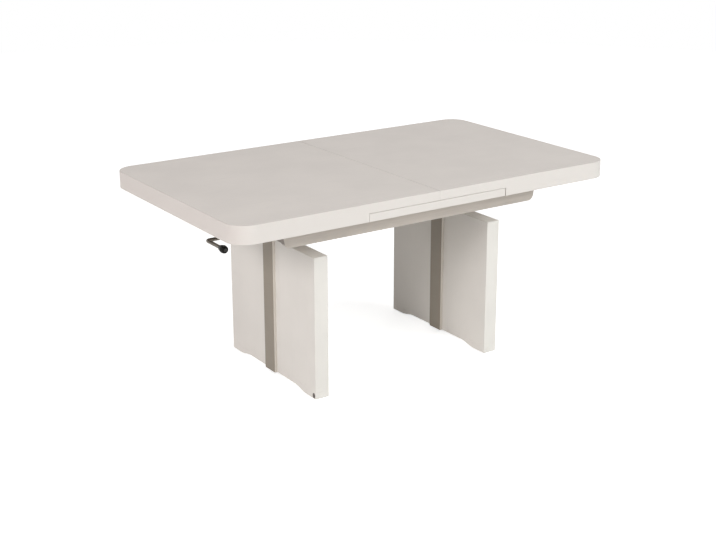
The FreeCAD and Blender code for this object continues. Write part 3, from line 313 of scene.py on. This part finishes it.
def beech(name, stretch):
    """Planed beech with growth rings and the short dark flecks of its rays."""
    colour = (0.56, 0.37, 0.2)
    fleck_colour = (0.3, 0.16, 0.075)
    shader = Shader(name, colour, 0.6)
    rings = shader.noise(16, stretch=stretch, detail=5, roughness=0.6, distortion=0.8)
    flecks = shader.noise(150, stretch=stretch, detail=2, roughness=0.5)
    base = shader.varied(rings, 0.3, 0.7, colour, 1.1, 0.82)
    base = shader.mix(shader.ranged(flecks, 0.62, 0.7, 0, 0.6), base, fleck_colour)
    shader.colour(base)
    shader.roughness(shader.ranged(rings, 0.3, 0.7, 0.52, 0.68))
    shader.relief(flecks, depth=0.0001, strength=0.4)
    return shader.material


def powder_coat(name, colour, side_colour):
    """Fine textured powder coat, paler on the narrow sides that face the front and the back."""
    shader = Shader(name, colour, 0.5)
    peel = shader.noise(900, detail=2)
    speck = shader.noise(2600, detail=1)
    cloud = shader.noise(11, detail=4)
    base = shader.varied(cloud, 0.3, 0.7, colour, 0.96, 1.03)
    base = shader.mix(shader.ranged(speck, 0.6, 0.72, 0, 0.3), base, tone(colour, 1.25))
    shader.colour(shader.mix(shader.ranged(shader.facing("Y"), 0.35, 0.95), base, side_colour))
    shader.roughness(shader.ranged(peel, 0.25, 0.75, 0.44, 0.58))
    shader.relief(peel, depth=0.00008, strength=0.5)
    shader.relief(speck, depth=0.00003, strength=0.5)
    return shader.material


def drawn_metal(name, colour, roughness, stretch, stain):
    """Bare metal with drawing lines along the long axis and faint stains."""
    shader = Shader(name, colour, roughness, metallic=1.0)
    lines = shader.noise(130, stretch=stretch, detail=4, roughness=0.7)
    cloud = shader.noise(22, detail=5, roughness=0.65)
    base = shader.varied(lines, 0.35, 0.65, colour, 0.9, 1.06)
    base = shader.mix(shader.ranged(cloud, 0.5, 0.75, 0, 0.5), base, stain)
    shader.colour(base)
    shader.roughness(shader.ranged(lines, 0.3, 0.7, roughness - 0.08, roughness + 0.12))
    shader.relief(lines, depth=0.00003, strength=0.5)
    return shader.material


def grainy_metal(name, colour, roughness, grain, stain):
    """Cast, sintered or plated metal with an even grain and stained patches."""
    shader = Shader(name, colour, roughness, metallic=1.0)
    fine = shader.noise(grain, detail=3)
    cloud = shader.noise(40, detail=5, roughness=0.7)
    base = shader.varied(fine, 0.3, 0.7, colour, 0.88, 1.05)
    base = shader.mix(shader.ranged(cloud, 0.5, 0.78, 0, 0.6), base, stain)
    shader.colour(base)
    shader.roughness(shader.ranged(cloud, 0.3, 0.75, roughness - 0.08, roughness + 0.14))
    shader.relief(fine, depth=0.00008, strength=0.5)
    return shader.material


def moulded_plastic(name, colour, roughness, grain, shine=0.5):
    """Moulded plastic with a fine eroded skin and handling haze."""
    shader = Shader(name, colour, roughness)
    shader.bsdf.inputs["Specular IOR Level"].default_value = shine
    skin = shader.noise(grain, detail=2)
    haze = shader.noise(55, detail=5, roughness=0.7)
    shader.colour(shader.varied(haze, 0.4, 0.75, colour, 0.9, 1.35))
    shader.roughness(shader.ranged(haze, 0.3, 0.75, roughness - 0.06, roughness + 0.14))
    shader.relief(skin, depth=0.00005, strength=0.5)
    return shader.material


def crank_steel():
    """Burnished rod, rubbed brighter where hands brush it near the knob."""
    colour = (0.18, 0.162, 0.138)
    rubbed_colour = (0.36, 0.335, 0.3)
    shader = Shader("crank_steel", colour, 0.38, metallic=1.0)
    lines = shader.noise(420, stretch=(1, 0.12, 1), detail=4, roughness=0.7)
    patches = shader.noise(70, detail=5, roughness=0.7)
    base = shader.varied(patches, 0.35, 0.7, colour, 0.75, 1.2)
    handled = shader.ranged(shader.place("Y"), -0.075, -0.02, 1, 0)
    rubbed = shader.math("MULTIPLY", handled, shader.ranged(lines, 0.45, 0.7))
    shader.colour(shader.cover(rubbed, 0.7, base, rubbed_colour))
    shader.roughness(shader.ranged(patches, 0.3, 0.7, 0.3, 0.5))
    shader.relief(lines, depth=0.00004, strength=0.5)
    return shader.material


foil_across = frame_foil("frame_foil_across", BEIGE, FOIL_Y)
SLOT_MATERIALS = {
    "top_laminate": top_laminate(),
    "leg_laminate": leg_laminate("leg_laminate", with_dark_patch=False),
    "column_paint": powder_coat("column_paint", (0.265, 0.233, 0.188), (0.7, 0.665, 0.6)),
    "frame_foil": frame_foil("frame_foil", BEIGE, FOIL_X, dark_ends=True),
    "end_foil": frame_foil("end_foil", DARK_TAUPE, FOIL_Y),
    "frame_timber": beech("frame_timber", TIMBER_X),
    "slide_aluminium": drawn_metal("slide_aluminium", (0.6, 0.6, 0.605), 0.34, LINES_X, (0.48, 0.48, 0.48)),
    "column_steel": drawn_metal("column_steel", STEEL, 0.3, LINES_Z, STEEL_STAIN),
    "zinc_bolts": grainy_metal("zinc_bolts", (0.66, 0.67, 0.69), 0.34, 700, (0.55, 0.5, 0.36)),
    "gearbox_casting": grainy_metal("gearbox_casting", (0.52, 0.52, 0.52), 0.5, 900, (0.36, 0.35, 0.33)),
    "gear_steel": grainy_metal("gear_steel", (0.34, 0.34, 0.34), 0.4, 1400, OIL),
    "bush_bronze": grainy_metal("bush_bronze", (0.62, 0.43, 0.22), 0.42, 1400, (0.36, 0.24, 0.12)),
    "guide_plastic": moulded_plastic("guide_plastic", (0.022, 0.022, 0.022), 0.5, 1600),
    "rack_nylon": moulded_plastic("rack_nylon", (0.66, 0.66, 0.62), 0.45, 1200),
    "crank_steel": crank_steel(),
    "knob_plastic": moulded_plastic("knob_plastic", (0.009, 0.009, 0.008), 0.3, 1500, shine=0.12),
}
# Nodes whose finish differs from the rest of their slot.
NODE_MATERIALS = {
    "left_front_wing": leg_laminate("leg_laminate_dark_patch", with_dark_patch=True),
    "drive_shaft": drawn_metal("shaft_steel", STEEL, 0.3, LINES_X, STEEL_STAIN),
    "left_cross_member": foil_across,
    "right_cross_member": foil_across,
    "centre_member": beech("frame_timber_across", TIMBER_Y),
}


def dress_nodes():
    slots = {part["node"]: part["material_slot"] for part in frame["record"]["subparts"]}
    for name, obj in NODES.items():
        obj.data.materials.clear()
        obj.data.materials.append(NODE_MATERIALS.get(name, SLOT_MATERIALS[slots[name]]))


def ring_points(radius, height, segments, hexagon=False):
    """Points round a circle, or round a hexagon with that radius at its corners."""
    points = []
    for step in range(segments):
        angle = 2 * math.pi * step / segments
        reach = radius
        if hexagon:
            from_flat = (angle % (math.pi / 3)) - math.pi / 6
            reach = radius * (math.cos(math.pi / 6) / math.cos(from_flat))
        points.append((reach * math.cos(angle), reach * math.sin(angle), height))
    return points


def lathe(rings):
    """Shape through rings of points, closed at both ends."""
    shape = bmesh.new()
    rows = [[shape.verts.new(point) for point in ring] for ring in rings]
    segments = len(rows[0])
    for low, high in zip(rows, rows[1:]):
        for step in range(segments):
            after = (step + 1) % segments
            shape.faces.new((low[step], low[after], high[after], high[step]))
    shape.faces.new(list(reversed(rows[0])))
    shape.faces.new(rows[-1])
    return shape


def to_mesh(name, shape):
    mesh = bpy.data.meshes.new(name)
    shape.to_mesh(mesh)
    shape.free()
    return mesh


def link_object(name, data):
    obj = bpy.data.objects.new(name, data)
    bpy.context.scene.collection.objects.link(obj)
    return obj


def finish_mesh(mesh, sharp_angle, material):
    """Smooth the mesh up to an angle in degrees and give it its material."""
    mesh.polygons.foreach_set("use_smooth", [True] * len(mesh.polygons))
    mesh.set_sharp_from_angle(angle=math.radians(sharp_angle))
    mesh.materials.append(material)


def screw_head():
    """Domed screw head that faces up, with a hexagon socket."""
    segments = 36
    dome = [(0.0036, 0.0), (0.0042, 0.0003), (0.0042, 0.0008), (0.0036, 0.0016), (0.0026, 0.0021)]
    socket = [(0.0021, 0.0022), (0.0019, 0.0009)]
    rings = [ring_points(radius, height, segments) for radius, height in dome]
    rings += [ring_points(radius, height, segments, hexagon=True) for radius, height in socket]
    return lathe(rings)


def scatter_screws(name, places, body):
    """Heads that face down, one at each place."""
    head = to_mesh(f"{name}_head", screw_head())
    together = bmesh.new()
    for place in places:
        copy = head.copy()
        copy.transform(Matrix.Translation(place) @ Matrix.Rotation(math.pi, 4, "X"))
        together.from_mesh(copy)
        bpy.data.meshes.remove(copy)
    bpy.data.meshes.remove(head)
    mesh = to_mesh(name, together)
    finish_mesh(mesh, 32, SLOT_MATERIALS["zinc_bolts"])
    obj = link_object(name, mesh)
    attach(obj, body)


def frame_screws():
    """Screws up through the corner blocks and the flange of the crank bracket."""
    near_edge = 0.008
    far_edge = 0.02
    flange_thickness = 0.006
    flange_reach = 0.026
    low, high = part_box("corner_blocks")
    places = []
    for side in (-1, 1):
        for face in (-1, 1):
            for inward, across in ((near_edge, far_edge), (far_edge, near_edge)):
                places.append((side * (high.x - inward), face * (high.y - across), low.z))
    scatter_screws("corner_block_screws", places, "lift_frame")
    low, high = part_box("crank_bracket")
    flange_bottom = high.z - flange_thickness
    middle = (low.x + high.x) / 2
    places = [(middle, y, flange_bottom) for y in (-flange_reach, flange_reach)]
    scatter_screws("bracket_screws", places, "lift_frame")


def knob_cap():
    """Pressed cap in the end of the crank's knob."""
    low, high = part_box("crank_knob")
    segments = 48
    rim = [(0.0046, 0.0), (0.0046, 0.0003), (0.0043, 0.0006), (0.0036, 0.0007)]
    dish = [(0.0033, 0.0004), (0.001, 0.0005)]
    rings = [ring_points(radius, height, segments) for radius, height in rim + dish]
    mesh = to_mesh("knob_cap", lathe(rings))
    middle = ((low.x + high.x) / 2, low.y, (low.z + high.z) / 2)
    mesh.transform(Matrix.Translation(middle) @ Matrix.Rotation(math.pi / 2, 4, "X"))
    finish_mesh(mesh, 40, moulded_plastic("cap_plastic", (0.03, 0.03, 0.028), 0.34, 1500, shine=0.3))
    obj = link_object("knob_cap", mesh)
    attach(obj, "crank")


def seen_directly(tree):
    """1 for camera, glossy and transmission rays."""
    path = tree.nodes.new("ShaderNodeLightPath")
    total = path.outputs["Is Camera Ray"]
    for name in ("Is Glossy Ray", "Is Transmission Ray"):
        add = tree.nodes.new("ShaderNodeMath")
        add.operation = "MAXIMUM"
        tree.links.new(total, add.inputs[0])
        tree.links.new(path.outputs[name], add.inputs[1])
        total = add.outputs[0]
    return total


def make_world():
    """Weak warm fill light all round, and a white surround where the world is seen directly."""
    fill_colour = (1, 0.93, 0.9)
    fill_strength = 0.27
    world = bpy.data.worlds.new("studio")
    bpy.context.scene.world = world
    world.use_nodes = True
    tree = world.node_tree
    fill = tree.nodes["Background"]
    fill.inputs["Color"].default_value = opaque(fill_colour)
    fill.inputs["Strength"].default_value = fill_strength
    surround = tree.nodes.new("ShaderNodeBackground")
    surround.inputs["Color"].default_value = opaque(WHITE)
    surround.inputs["Strength"].default_value = 1.0
    mix = tree.nodes.new("ShaderNodeMixShader")
    tree.links.new(seen_directly(tree), mix.inputs[0])
    tree.links.new(fill.outputs[0], mix.inputs[1])
    tree.links.new(surround.outputs[0], mix.inputs[2])
    tree.links.new(mix.outputs[0], tree.nodes["World Output"].inputs["Surface"])


def make_floor():
    """Round sheet of pale paper that keeps the shadow; past its edge the white surround takes over.

    Where it is seen directly, a glow lifts it to the white of the surround.
    """
    radius = 6
    paper_colour = (0.86, 0.86, 0.86)
    glow_colour = (0.98, 1, 1.01)
    glow_strength = 0.67
    shape = bmesh.new()
    bmesh.ops.create_circle(shape, cap_ends=True, segments=128, radius=radius)
    mesh = to_mesh("floor", shape)
    floor = link_object("floor", mesh)
    material = bpy.data.materials.new("floor_paper")
    material.use_nodes = True
    tree = material.node_tree
    tree.nodes.remove(tree.nodes["Principled BSDF"])
    paper = tree.nodes.new("ShaderNodeBsdfDiffuse")
    paper.inputs["Color"].default_value = opaque(paper_colour)
    glow = tree.nodes.new("ShaderNodeEmission")
    glow.inputs["Color"].default_value = opaque(glow_colour)
    strength = tree.nodes.new("ShaderNodeMath")
    strength.operation = "MULTIPLY"
    strength.inputs[1].default_value = glow_strength
    tree.links.new(seen_directly(tree), strength.inputs[0])
    tree.links.new(strength.outputs[0], glow.inputs["Strength"])
    total = tree.nodes.new("ShaderNodeAddShader")
    tree.links.new(paper.outputs[0], total.inputs[0])
    tree.links.new(glow.outputs[0], total.inputs[1])
    tree.links.new(total.outputs[0], tree.nodes["Material Output"].inputs["Surface"])
    mesh.materials.append(material)


def make_light(name, azimuth, elevation, distance, size, power, colour):
    """Softbox that faces the middle of the table; azimuth 0 is the front and 90 the crank's end.

    Only the white surround shows in reflections, so that the top doesn't wash out opposite a lamp.
    """
    target = (0, 0, 0.3)
    around = math.radians(azimuth)
    above = math.radians(elevation)
    lamp = bpy.data.lights.new(name, "AREA")
    lamp.shape = "RECTANGLE"
    lamp.size, lamp.size_y = size
    lamp.energy = power
    lamp.color = colour
    obj = link_object(name, lamp)
    turn = Matrix.Rotation(-around, 4, "Z") @ Matrix.Rotation(math.pi / 2 - above, 4, "X")
    obj.matrix_world = Matrix.Translation(target) @ turn @ Matrix.Translation((0, 0, distance))
    obj.visible_glossy = False


def make_camera():
    """Camera of the photo: in front of the table, towards the crank's end and above the top."""
    place = (-1.9713, -2.8898, 1.4231)
    yaw = math.radians(34.027)
    pitch = math.radians(16.491)
    roll = math.radians(-0.075)
    camera = bpy.data.cameras.new("camera")
    camera.lens = 64.799
    camera.sensor_width = 36
    camera.shift_y = -0.067
    camera.clip_end = 200
    obj = link_object("camera", camera)
    obj.matrix_world = (
        Matrix.Translation(place)
        @ Matrix.Rotation(-yaw, 4, "Z")
        @ Matrix.Rotation(math.pi / 2 - pitch, 4, "X")
        @ Matrix.Rotation(roll, 4, "Z")
    )
    bpy.context.scene.camera = obj


dress_nodes()
frame_screws()
knob_cap()
make_world()
make_floor()
make_light(
    "key", azimuth=-25, elevation=25.5, distance=6, size=(4, 2.4), power=200, colour=(0.95, 1, 1),
)
make_light(
    "side", azimuth=65, elevation=23, distance=7, size=(2.8, 1.8), power=238, colour=(1, 0.955, 0.95),
)
make_light(
    "back", azimuth=225, elevation=18, distance=6, size=(4, 2.6), power=64, colour=(1, 0.97, 0.95),
)
make_camera()
bpy.context.scene.view_settings.view_transform = "Standard"
